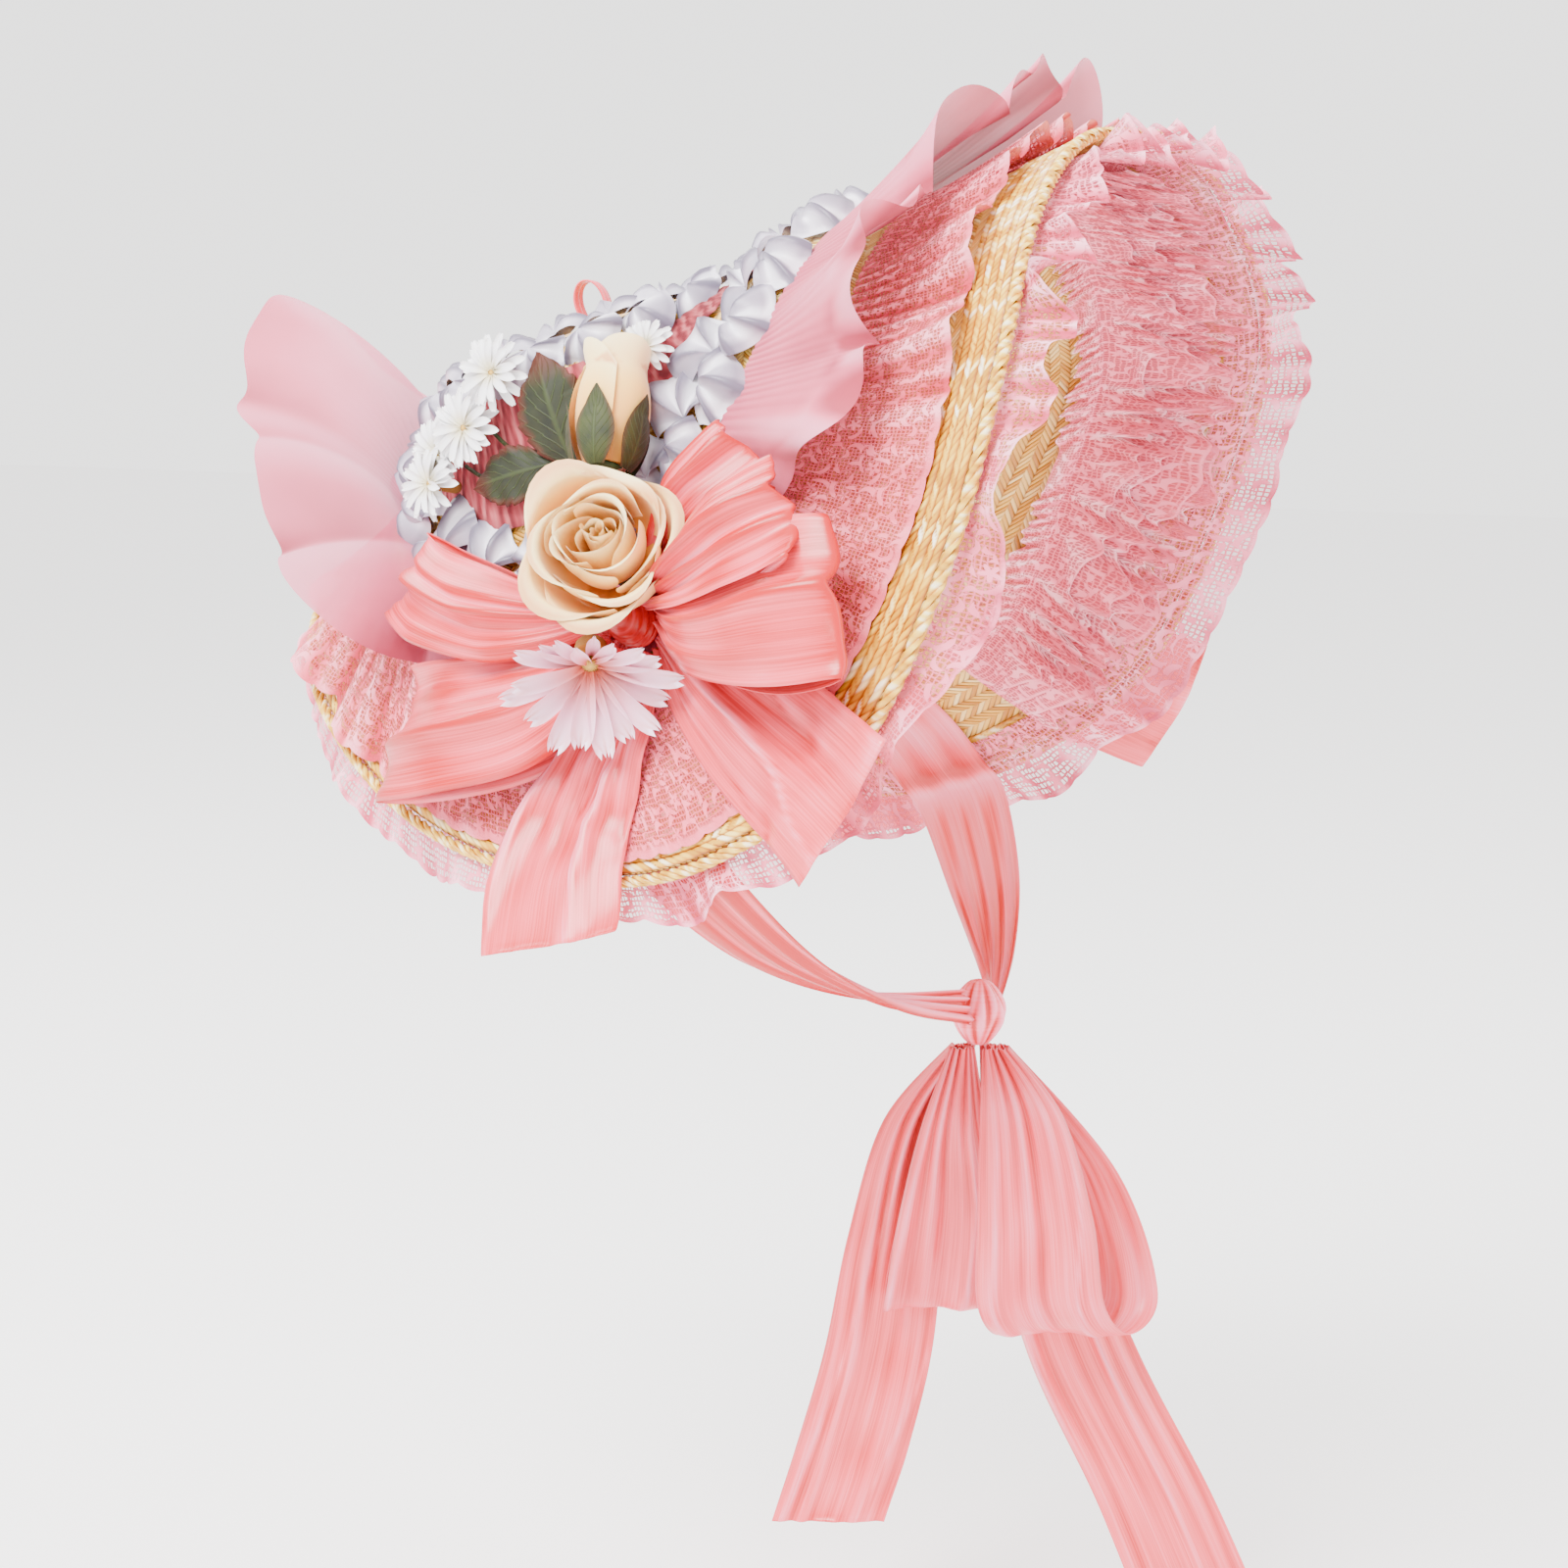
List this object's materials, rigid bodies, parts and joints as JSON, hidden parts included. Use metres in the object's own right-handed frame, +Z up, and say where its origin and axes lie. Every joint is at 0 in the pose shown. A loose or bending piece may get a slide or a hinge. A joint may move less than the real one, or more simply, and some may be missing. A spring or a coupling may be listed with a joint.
{
  "type": "straw bonnet",
  "caption": "Historic straw bonnet with a wide flared brim, lace and chiffon ruffles, satin ruching, side bows, silk flowers and a ribbon chin tie.",
  "frame": {"origin": "where the top of the wearer's head sits inside the bonnet, on its middle plane, level with the middle of the crown's front", "axes": "+Z up, -Y towards the face, -X towards the wearer's right side, which carries the flowers"},
  "size_m": [0.366, 0.4217, 0.6524],
  "materials": {
    "straw": "plaited straw with a light gloss",
    "white_satin": "soft satin",
    "dusty_pink_pleats": "crinkle-pleated voile",
    "coral_lace": "matte cotton lace",
    "pink_chiffon": "sheer chiffon",
    "coral_ribbon": "slubbed shantung ribbon with fine lengthwise stripes",
    "cream_petals": "silk petals",
    "green_leaf": "waxed cloth leaf",
    "lilac_petals": "thin cloth petals",
    "white_petals": "thin cloth petals"
  },
  "bodies": {
    "root": {"straw_brim": "straw", "straw_crown": "straw", "brim_edge_plait": "straw", "crown_ruche_base": "white_satin", "crown_ruche_top": "white_satin", "crown_band": "dusty_pink_pleats", "lace_ruffle_top": "coral_lace", "lace_edge_under": "coral_lace", "lace_lining": "coral_lace", "chiffon_ruffle": "pink_chiffon", "right_bow_loop_back": "coral_ribbon", "right_bow_loop_side": "coral_ribbon", "right_bow_loop_front": "coral_ribbon", "right_bow_loop_puff": "coral_ribbon", "right_bow_tail_front": "coral_ribbon", "right_bow_tail_back": "coral_ribbon", "right_bow_knot": "coral_ribbon", "left_bow_loop_back": "coral_ribbon", "left_bow_loop_side": "coral_ribbon", "left_bow_loop_front": "coral_ribbon", "left_bow_loop_puff": "coral_ribbon", "left_bow_tail_front": "coral_ribbon", "left_bow_tail_back": "coral_ribbon", "left_bow_knot": "coral_ribbon", "chin_strap_right": "coral_ribbon", "chin_strap_left": "coral_ribbon", "chin_knot": "coral_ribbon", "chin_loop_front": "coral_ribbon", "chin_loop_back": "coral_ribbon", "chin_tail_front": "coral_ribbon", "chin_tail_back": "coral_ribbon", "rose_full": "cream_petals", "rose_bud": "cream_petals", "bud_calyx": "green_leaf", "leaf_large": "green_leaf", "leaf_back": "green_leaf", "leaf_front": "green_leaf", "stem_upper": "green_leaf", "stem_lower": "green_leaf", "daisy_pink": "lilac_petals", "daisy_white_top": "white_petals", "daisy_white_middle": "white_petals", "daisy_white_back": "white_petals", "daisy_white_low": "white_petals", "crown_loop": "coral_ribbon"}
  },
  "joints": []
}
